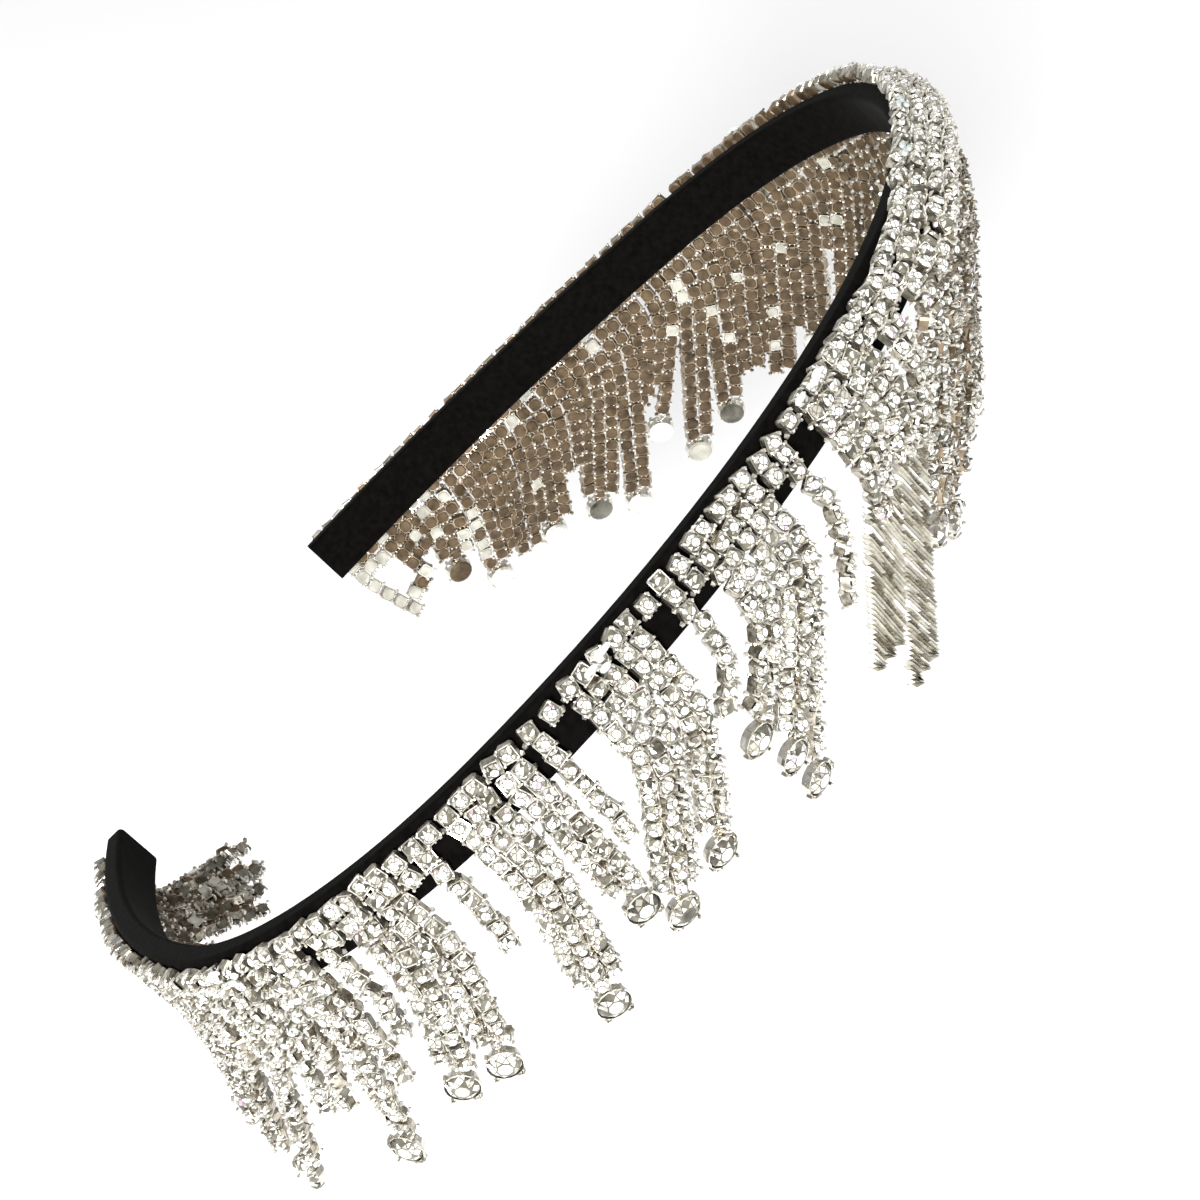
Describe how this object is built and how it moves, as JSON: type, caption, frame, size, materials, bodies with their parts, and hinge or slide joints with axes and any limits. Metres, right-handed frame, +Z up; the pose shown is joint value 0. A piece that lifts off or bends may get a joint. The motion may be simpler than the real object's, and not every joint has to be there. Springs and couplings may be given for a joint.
{
  "type": "tiara",
  "caption": "Slim velvet-covered headband hoop with silver cup chain laid across it that hangs below as a fringe of long bunches and short tufts ending in round crystals.",
  "frame": {"origin": "middle of the hoop's inner face at the crown, where the hoop sits on the head", "axes": "+Z up against gravity, -Y the front, +X the wearer's left; the hoop leans back, so that its free ends are behind and below the crown"},
  "size_m": [0.1807, 0.1305, 0.1235],
  "materials": {
    "velvet": "black velvet",
    "cup_chain": "silver cup chain set with clear stones",
    "crystal_setting": "silver claw cup with a clear crystal",
    "crystal": "clear cut glass"
  },
  "bodies": {
    "root": {"band": "velvet", "fringe_1": "cup_chain", "fringe_2": "cup_chain", "fringe_3": "cup_chain", "fringe_4": "cup_chain", "fringe_5": "cup_chain", "fringe_6": "cup_chain", "fringe_7": "cup_chain", "fringe_8": "cup_chain", "fringe_9": "cup_chain", "fringe_10": "cup_chain", "fringe_11": "cup_chain", "fringe_12": "cup_chain", "fringe_13": "cup_chain", "fringe_14": "cup_chain", "fringe_15": "cup_chain", "fringe_16": "cup_chain", "fringe_17": "cup_chain", "fringe_18": "cup_chain", "fringe_19": "cup_chain", "fringe_20": "cup_chain", "fringe_21": "cup_chain", "fringe_22": "cup_chain", "fringe_23": "cup_chain", "drop_1": "crystal_setting", "drop_2": "crystal_setting", "drop_3": "crystal_setting", "drop_4": "crystal_setting", "drop_5": "crystal_setting", "drop_6": "crystal_setting", "drop_7": "crystal_setting", "drop_8": "crystal_setting", "drop_9": "crystal_setting", "drop_10": "crystal_setting", "drop_11": "crystal_setting", "drop_12": "crystal_setting", "drop_13": "crystal_setting", "drop_14": "crystal_setting", "drop_15": "crystal_setting", "drop_16": "crystal_setting", "drop_17": "crystal_setting", "drop_18": "crystal_setting", "drop_19": "crystal_setting", "drop_20": "crystal_setting", "drop_21": "crystal_setting", "drop_22": "crystal_setting", "drop_23": "crystal_setting", "drop_24": "crystal_setting", "drop_25": "crystal_setting", "drop_26": "crystal_setting", "drop_27": "crystal_setting", "drop_28": "crystal_setting", "drop_29": "crystal_setting", "drop_30": "crystal_setting", "drop_31": "crystal_setting", "drop_32": "crystal_setting", "drop_33": "crystal_setting", "drop_34": "crystal_setting"}
  },
  "joints": []
}
